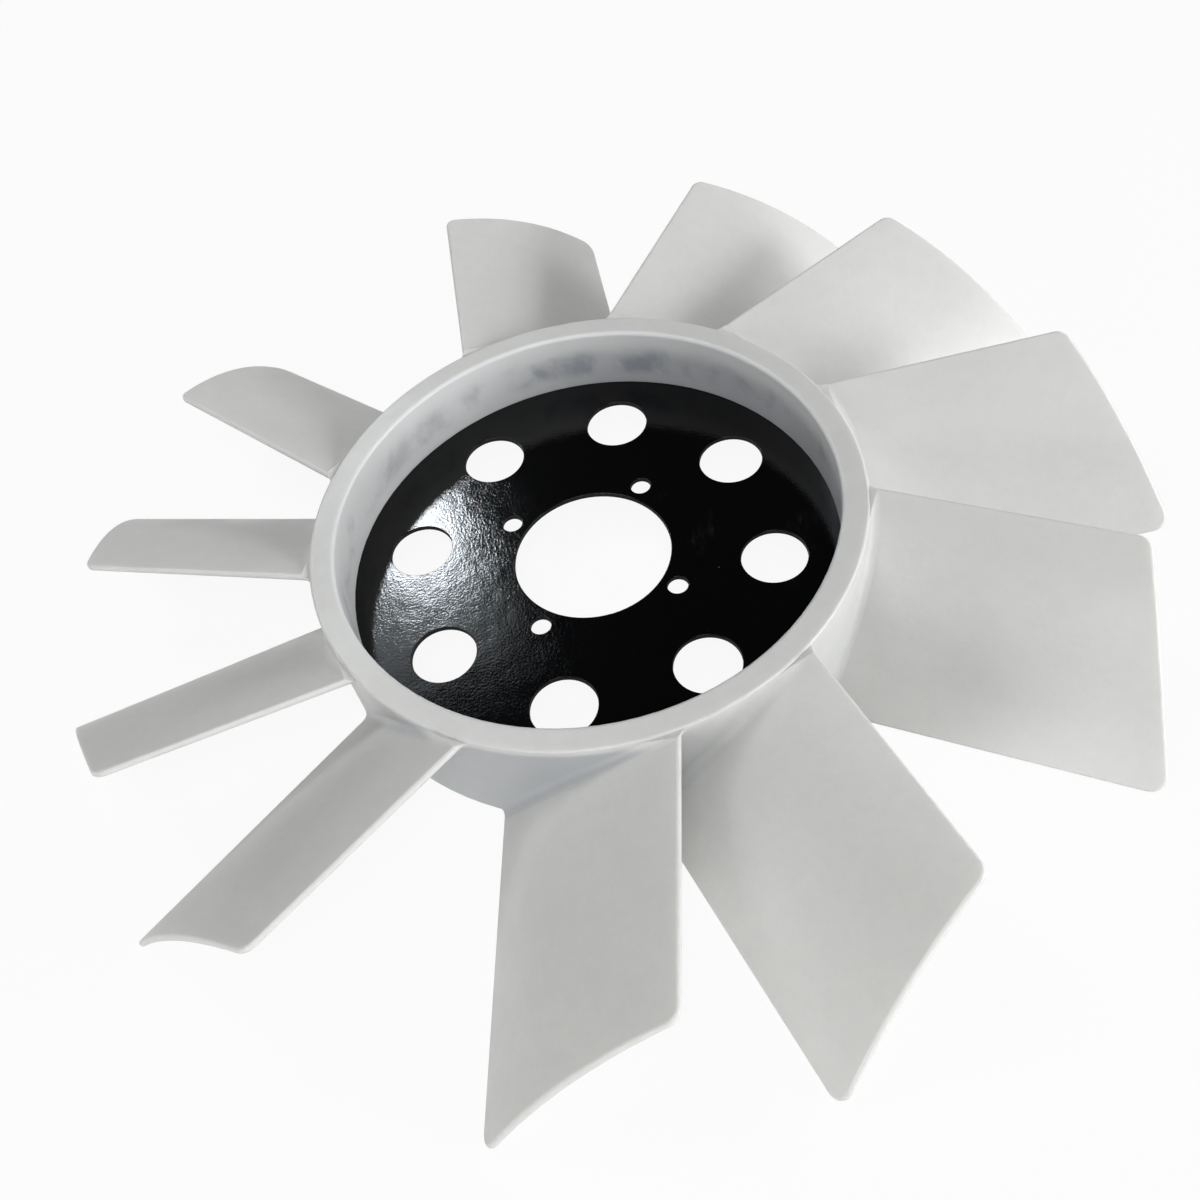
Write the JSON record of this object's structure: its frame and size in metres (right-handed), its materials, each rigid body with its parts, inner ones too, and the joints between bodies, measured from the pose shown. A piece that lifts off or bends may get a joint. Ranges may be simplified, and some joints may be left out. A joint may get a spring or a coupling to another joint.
{
  "type": "axial fan impeller",
  "caption": "Axial cooling-fan impeller: a translucent nylon ring with unevenly spaced cambered blades, moulded around a flat black steel hub plate with pilot bore and bolt holes.",
  "frame": {"origin": "centre of the pilot bore on the hub plate's front face", "axes": "+Z along the axis of rotation, out of the ring's deep front hollow; the picture looks along +Y, down at the front"},
  "size_m": [0.4509, 0.449, 0.0535],
  "materials": {
    "natural_nylon": "satin, natural translucent white nylon",
    "black_painted_steel": "glossy black coating on pressed steel"
  },
  "bodies": {
    "root": {"fan_moulding": "natural_nylon", "hub_plate": "black_painted_steel"}
  },
  "joints": []
}
